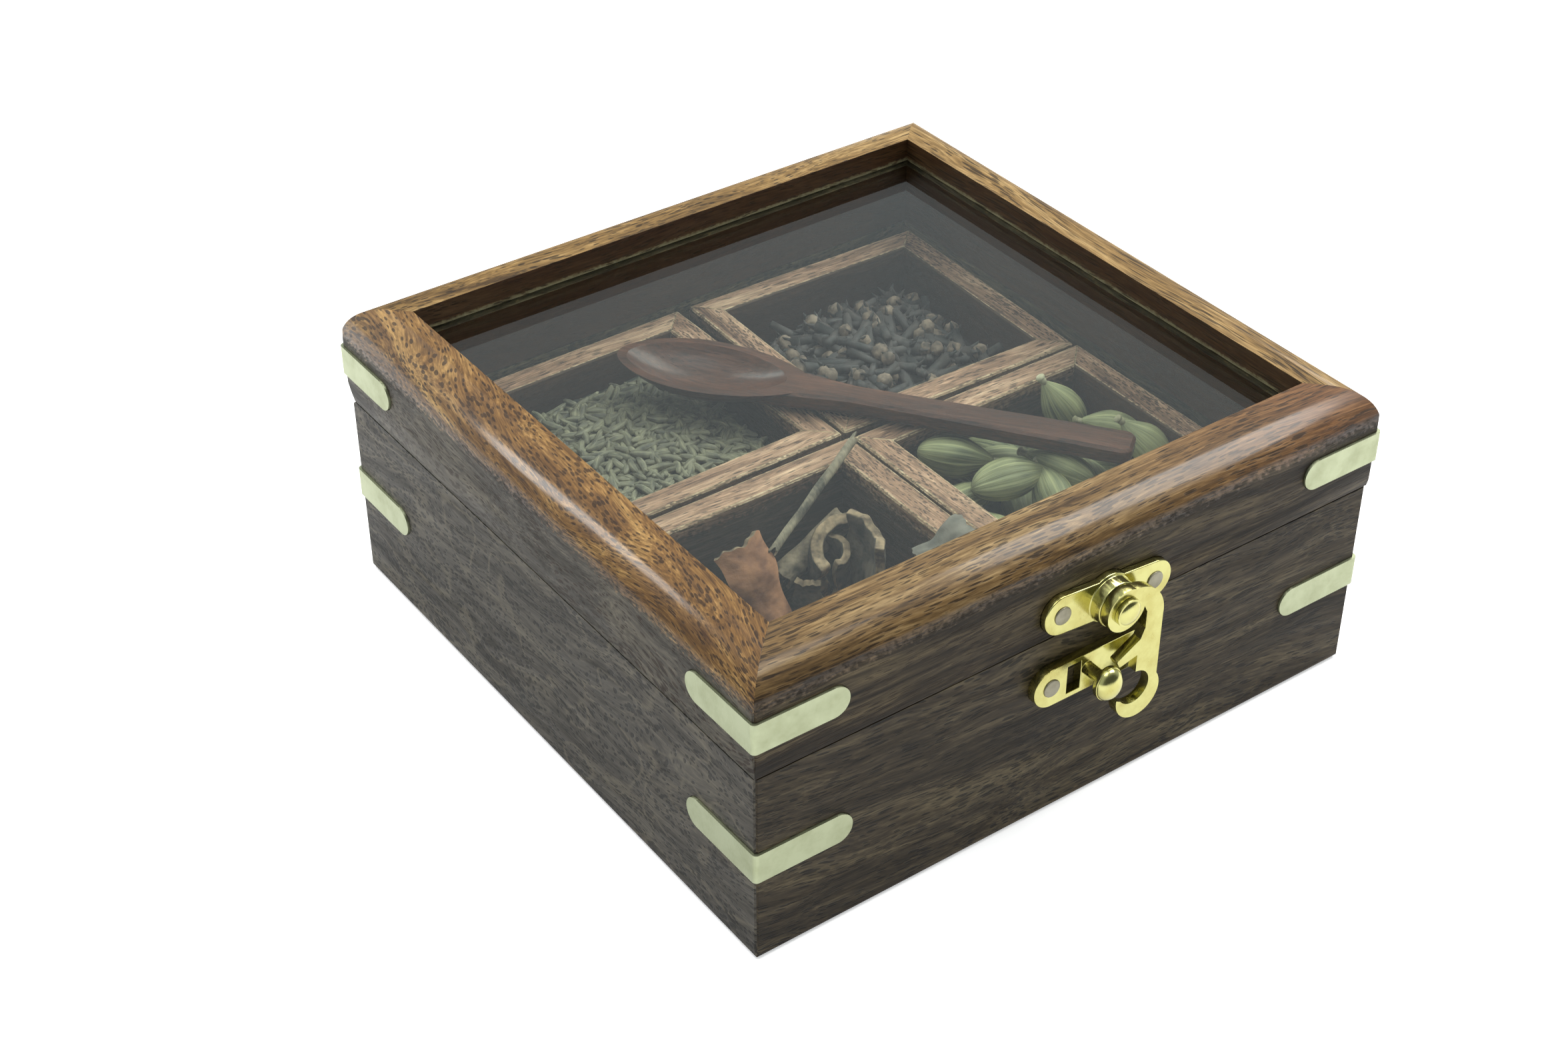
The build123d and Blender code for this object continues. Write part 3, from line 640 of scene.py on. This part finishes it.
# X, Y and Z of the middle in mm, heading, rise, size, and roll about the pod's own axis.
pod_rows = (
    (18.2, -13.2, 39.3, -44, -4, 1.02, 100),
    (29.0, -16.5, 35.0, -26, -6, 0.95, 80),
    (34.2, -29.6, 38.6, 114, 7, 1.0, 150),
    (22.8, -25.4, 38.2, -19, 5, 1.05, 30),
    (48.6, -12.8, 39.2, 146, 56, 0.95, 40),
    (53.0, -24.0, 38.6, 135, 8, 0.82, 10),
    (53.2, -34.0, 40.0, 142, 44, 0.88, 60),
    (15.5, -20.5, 33.5, -12, 8, 0.85, 90),
    (28.6, -34.0, 36.2, 76, 24, 0.98, 60),
    (20.5, -11.5, 31.0, 105, 5, 0.9, 0),
    (31.5, -12.5, 34.0, 118, 6, 0.95, 120),
    (38.5, -35.0, 35.0, 74, 30, 0.9, 210),
    (28.0, -38.5, 33.5, 30, 8, 0.92, 200),
    (47.0, -38.0, 34.0, -60, 10, 1.0, 250),
    (15.0, -33.0, 31.0, 80, 10, 0.95, 10),
    (17.0, -46.0, 31.0, 20, 6, 1.0, 100),
    (34.0, -47.5, 31.5, 0, 5, 1.0, 100),
    (51.5, -47.0, 31.0, 60, 5, 1.0, 30),
    (40.0, -13.0, 27.0, 10, 5, 0.95, 20),
    (30.0, -22.0, 25.5, 60, 0, 1.05, 30),
    (48.0, -22.0, 27.0, -20, 0, 1.05, 70),
    (20.0, -33.0, 23.0, 90, 0, 1.0, 70),
    (30.0, -46.0, 22.5, 0, 0, 1.0, 170),
    (48.0, -36.0, 24.0, 70, 0, 1.0, 170),
)
pod_places = [lying(*row) for row in pod_rows]
bed("cardamom", 20.5, 2.0, pod_bed)
finished("cardamom_pods", copies(pod, pod_places), "base", pod_green)
finished("cardamom_stubs", copies(stub, pod_places), "base", pod_stub)

# ---- Cinnamon bark ----
bark_grey = spice(
    "cinnamon_bark", (0.018, 0.013, 0.009), (0.115, 0.085, 0.058), 260.0, 0.85, (900, 900, 1500)
)
bark_olive = spice(
    "cinnamon_quill", (0.040, 0.028, 0.017), (0.24, 0.175, 0.110), 300.0, 0.85, (900, 900, 1500)
)
bark_split = spice(
    "cinnamon_split", (0.055, 0.045, 0.030), (0.34, 0.27, 0.175), 160.0, 0.8, (1400, 500, 500)
)
bark_flat = spice(
    "cinnamon_flat", (0.080, 0.070, 0.055), (0.210, 0.180, 0.140), 120.0, 0.8, (300, 300, 900)
)
bark_pink = spice(
    "cinnamon_inside", (0.16, 0.062, 0.028), (0.43, 0.195, 0.090), 130.0, 0.8, (500, 500, 900)
)
bark_broken = spice("cinnamon_broken_edge", (0.080, 0.052, 0.030), (0.30, 0.205, 0.118), 400.0, 0.9)
bark_shade = spice("cinnamon_shade", (0.010, 0.008, 0.006), (0.034, 0.026, 0.018), 150.0, 0.9)


worn_share = 0.22  # width of a worn edge, as a share of the bark's thickness


def bark(name, material, radius, sweep, thickness, start, end, outward, flare=0.0, spiral=0.0):
    """Curled strip of bark, in mm and degrees, whose middle line runs from start to end."""
    start, end = Vector(start), Vector(end)
    length = (end - start).length
    chance = random.Random(name)
    phase = [chance.uniform(0, 2 * pi) for _ in range(5)]
    shape = bmesh.new()
    bmesh.ops.create_grid(shape, x_segments=28, y_segments=20, size=1)
    for vert in shape.verts:
        around, along, _ = vert.co
        reach = radius * (1 + spiral * around + 0.05 * sin(4 * along + phase[0]))
        angle = radians(sweep) / 2 * around * (1 + flare * along + 0.05 * sin(6 * along + phase[1]))
        ragged = 1 + 0.045 * sin(5 * around + phase[2]) + 0.025 * sin(13 * around + phase[3])
        rough = 0.12 * sin(9 * along + phase[4]) * sin(7 * around + phase[0])
        height = length / 2 * along * ragged
        vert.co = ((reach + rough) * cos(angle) - radius, reach * sin(angle), height)
    up = (end - start).normalized()
    out = Vector(outward) - up * up.dot(Vector(outward))
    out.normalize()
    turn = Matrix((out, up.cross(out), up)).transposed().to_4x4()
    place = Matrix.Scale(mm, 4) @ Matrix.Translation((start + end) / 2) @ turn
    bmesh.ops.transform(shape, matrix=place, verts=shape.verts)
    piece = finished(name, shape, "base", material)
    piece.data.materials.append(bark_broken)
    wall = piece.modifiers.new("wall", "SOLIDIFY")
    wall.thickness = thickness * mm
    wall.offset = -1
    wall.material_offset_rim = 1
    worn = piece.modifiers.new("worn", "BEVEL")
    worn.width = worn_share * thickness * mm
    worn.segments = 2
    worn.angle_limit = radians(50)
    worn.harden_normals = True


bed("cinnamon", 10.0, 1.0, bark_shade)
# Name, finish, radius, sweep, thickness, then start, end, outward, flare and spiral.
bark_rows = (
    ("long_quill", bark_split, 0.85, 250, 0.4,
     (-28.9, -13.1, 35.7), (-1.9, -4.8, 48.2), (0, 0.2, 1), 0, 0.25),
    ("stick", bark_olive, 2.6, 330, 0.8,
     (-28.3, -13.4, 30.5), (-10.9, -11.2, 36.6), (0, 0.3, 1), 0, 0.08),
    ("c_curl", bark_grey, 9.0, 125, 2.7,
     (-15.9, -10.0, 23.5), (-19.3, -13.9, 36.0), (-0.56, 0.80, 0.2)),
    ("small_curl", bark_grey, 5.6, 150, 1.7,
     (-13.0, -18.0, 20.0), (-13.8, -20.2, 34.0), (0.94, -0.34, 0), 0, 0.1),
    ("upright_curl", bark_grey, 13.0, 66, 2.1,
     (-12.2, -22.8, 22.0), (-9.0, -24.0, 39.0), (0.95, -0.20, 0.2), 0.15),
    ("pink_piece", bark_pink, 9.5, 62, 1.3,
     (-32.0, -20.5, 23.5), (-35.2, -12.2, 38.5), (-0.1, -0.85, 0.5), 0.30),
    ("slab", bark_flat, 14.0, 30, 1.2,
     (-11.0, -39.3, 40.9), (-0.8, -40.4, 46.6), (-0.5, 0, 1)),
    ("chip", bark_grey, 9.0, 44, 1.3,
     (-24.0, -20.0, 18.0), (-25.5, -21.0, 29.5), (-0.7, -0.7, 0.1), -0.2),
    ("low_stick", bark_grey, 3.6, 320, 0.9,
     (-51.0, -48.0, 15.5), (-16.0, -51.0, 18.0), (0, 0, 1), 0, 0.08),
    ("low_curl", bark_grey, 5.0, 240, 1.2,
     (-45.0, -14.0, 16.0), (-38.0, -44.0, 16.5), (0, 0, 1), 0, 0.12),
    ("low_strip", bark_pink, 8.0, 110, 1.2,
     (-12.0, -30.0, 18.0), (-36.0, -40.0, 20.0), (0, 0, 1), 0.1),
    ("low_quill", bark_olive, 2.6, 300, 0.7,
     (-53.0, -30.0, 20.5), (-24.0, -46.0, 23.5), (0, 0, 1), 0, 0.15),
)
for name, *row in bark_rows:
    bark(f"cinnamon_{name}", *row)


# ---- Small fasteners and crowns ----
case_front = -74.5  # Y of the base's front face, in mm like all the places here
plate_thickness = 2.0
hook_pivot = (4.2, 49.85)  # X and Z
catch_middle = (2.9, 34.0)
knob = (0.0, 35.0)
nail_spread = 23.3
hook_plate_tilt = -5  # degrees
hinge_middles = (("left", -45.0), ("right", 45.0))
screw_spread = 11.0
screw_line = 68.0  # Y of the hinge screws
screw_seats = (("base", 44.5, 0), ("lid", 44.8, pi))  # body, Z of the face, turn about X
slot_half_width = 0.17
slot_depth = 0.35
quarter_turn = Matrix.Rotation(radians(90), 4, "X")
sides = ((-1, "left"), (1, "right"))


def nail(name, x, z, body):
    """Flat-headed nail through a latch plate."""
    face = case_front * mm - plate_thickness * mm
    shape = bmesh.new()
    facing = Matrix.Translation((x * mm, face, z * mm)) @ quarter_turn
    cone(shape, facing @ Matrix.Translation((0, 0, 0.12 * mm)), 32, 2.0, 1.9, 0.3)
    rim = [edge for edge in shape.edges if all(vert.co.y < face - 0.2 * mm for vert in edge.verts)]
    bmesh.ops.bevel(
        shape, geom=rim, offset=0.1 * mm, segments=2, affect="EDGES", profile=0.5, material=-1
    )
    cone(shape, facing @ Matrix.Translation((0, 0, -0.95 * mm)), 16, 0.85, 0.85, 1.9)
    finished(name, shape, body, nail_steel)


reach = nail_spread / 2
tilt = radians(hook_plate_tilt)
for end, side in sides:
    x, z = hook_pivot[0] + end * reach * cos(tilt), hook_pivot[1] + end * reach * sin(tilt)
    nail(f"hook_plate_nail_{side}", x, z, "lid")
    nail(f"catch_nail_{side}", catch_middle[0] + end * reach, catch_middle[1], "base")


def dome(name, node, middle, half_sizes, body):
    """Polished crown over the flat head of a latch part."""
    low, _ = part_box(node)
    shape = bmesh.new()
    bmesh.ops.create_uvsphere(shape, u_segments=40, v_segments=24, radius=1)
    for vert in shape.verts:
        vert.co.z = max(vert.co.z, 0)
    x, z = middle
    place = Matrix.Translation((x * mm, low.y + 0.4 * mm, z * mm)) @ quarter_turn
    place @= Matrix.Diagonal((*(half * mm for half in half_sizes), 1))
    bmesh.ops.transform(shape, matrix=place, verts=shape.verts)
    finished(name, shape, body, latch_brass)


dome("catch_knob_crown", "catch_plate", knob, (3.12, 3.62, 2.5), "base")
dome("hook_rivet_crown", "hook_rivet", hook_pivot, (2.75, 2.75, 1.15), "lid")


def hinge_screw(name, x, level, turn, body):
    """Slotted flush screw in a hinge leaf."""
    shape = bmesh.new()
    facing = Matrix.Translation((x * mm, screw_line * mm, level * mm))
    facing @= Matrix.Rotation(turn, 4, "X")
    cone(shape, facing @ Matrix.Translation((0, 0, -0.47 * mm)), 24, 0.76, 1.42, 0.8)
    for flank in (-1, 1):
        cut = facing @ Vector((0, flank * slot_half_width * mm, 0))
        whole = shape.verts[:] + shape.edges[:] + shape.faces[:]
        bmesh.ops.bisect_plane(shape, geom=whole, plane_co=cut, plane_no=(0, 1, 0))
    up = facing.to_3x3() @ Vector((0, 0, 1))
    slot = [
        face for face in shape.faces
        if face.normal.dot(up) > 0.9
        and abs(face.calc_center_median().y - screw_line * mm) < 0.1 * mm
    ]
    sunk = bmesh.ops.extrude_face_region(shape, geom=slot)["geom"]
    bmesh.ops.delete(shape, geom=slot, context="FACES_ONLY")
    sunk = [item for item in sunk if isinstance(item, bmesh.types.BMVert)]
    bmesh.ops.translate(shape, vec=up * -slot_depth * mm, verts=sunk)
    finished(name, shape, body, nail_steel)


for hinge, middle in hinge_middles:
    for end, side in sides:
        for body, level, turn in screw_seats:
            x = middle + end * screw_spread / 2
            hinge_screw(f"hinge_{hinge}_{body}_screw_{side}", x, level, turn, body)


# ---- Floor, light and camera ----
floor_drop = 0.0002  # metres under the box
floor_reach = 4  # metres from its middle to each side


def floor():
    """Pale floor that renders white and keeps a soft shadow, just clear of the box."""
    shape = bmesh.new()
    bmesh.ops.create_grid(shape, x_segments=1, y_segments=1, size=floor_reach)
    mesh = bpy.data.meshes.new("floor")
    bmesh.ops.translate(shape, vec=(0, 0, -floor_drop), verts=shape.verts)
    shape.to_mesh(mesh)
    shape.free()
    sheet = bpy.data.objects.new("floor", mesh)
    bpy.context.scene.collection.objects.link(sheet)
    white = Finish("floor_white")
    white.surface(Base_Color=(0.86, 0.86, 0.86, 1), Roughness=0.7)
    path = white.node("LightPath").outputs
    seen = white.maths("MAXIMUM", path["Is Camera Ray"], path["Is Transmission Ray"])
    seen = white.maths("MULTIPLY", seen, 0.45)
    glint = white.maths("MULTIPLY", path["Is Glossy Ray"], 0.15)
    glow = white.maths("MAXIMUM", seen, glint)
    white.surface(Emission_Color=(1, 1, 1, 1), Emission_Strength=glow)
    mesh.materials.append(white.material)


front_glare, back_glare = 0.10, 0.55  # strength in reflections, from -Y to +Y
soft_strength = 0.53


def sky():
    """White for the camera, soft for light, and darker on the front side in reflections."""
    world = bpy.data.worlds.new("tent")
    bpy.context.scene.world = world
    world.use_nodes = True
    tree = world.node_tree
    tree.nodes.clear()

    def node(kind, sockets=None, **settings):
        made = tree.nodes.new("ShaderNode" + kind)
        for setting, value in settings.items():
            setattr(made, setting, value)
        for socket, value in (sockets or {}).items():
            if isinstance(value, bpy.types.NodeSocket):
                tree.links.new(value, made.inputs[socket])
            else:
                made.inputs[socket].default_value = value
        return made.outputs

    path = node("LightPath")
    plain = node("Background", {"Strength": 1.0, "Color": (1, 1, 1, 1)})
    generated = node("TexCoord")["Generated"]
    ahead = node("SeparateXYZ", {0: generated})["Y"]
    span = {"Value": ahead, "From Min": -0.75, "From Max": -0.25}
    span |= {"To Min": front_glare, "To Max": back_glare}
    front = node("MapRange", span, interpolation_type="SMOOTHSTEP")["Result"]
    # A float mix keeps its factor in socket 0 and its values in 2 and 3.
    strengths = {0: path["Is Glossy Ray"], 2: soft_strength, 3: front}
    strength = node("Mix", strengths, data_type="FLOAT")[0]
    soft = node("Background", {"Color": (0.91, 0.98, 1.0, 1), "Strength": strength})
    mix = node("MixShader", {0: path["Is Camera Ray"], 1: soft[0], 2: plain[0]})
    node("OutputWorld", {"Surface": mix[0]})


lamp_target = (0, 0, 0.03)


def softbox(name, place, size, power, colour):
    """Rectangular lamp that faces the middle of the box, with its size in metres."""
    lamp = bpy.data.lights.new(name, "AREA")
    lamp.shape = "RECTANGLE"
    lamp.size, lamp.size_y = size
    lamp.energy = power
    lamp.color = colour
    holder = bpy.data.objects.new(name, lamp)
    holder.location = place
    away = Vector(place) - Vector(lamp_target)
    holder.rotation_euler = away.to_track_quat("Z", "Y").to_euler()
    bpy.context.scene.collection.objects.link(holder)


floor()
sky()
softbox("back_softbox", (-0.36, 0.86, 0.85), (0.28, 0.70), 6.5, (1, 0.99, 0.96))
softbox("right_softbox", (0.58, -0.02, 0.85), (0.70, 0.66), 11.0, (1, 0.98, 0.95))
softbox("top_softbox", (-0.25, -0.15, 1.1), (0.6, 0.6), 3.5, (1, 1, 1))

camera_dip = 36.323  # degrees below level
camera_heading = -35.780  # degrees from +Y, towards -X where positive
lens = bpy.data.cameras.new("camera")
lens.sensor_width = 36.0
lens.lens = 57.54
lens.clip_start = 0.01
camera = bpy.data.objects.new("camera", lens)
camera.location = (-0.26230, -0.34171, 0.34014)
camera.rotation_euler = (radians(90 - camera_dip), 0, radians(camera_heading))
bpy.context.scene.collection.objects.link(camera)
bpy.context.scene.camera = camera
bpy.context.scene.view_settings.view_transform = "Standard"
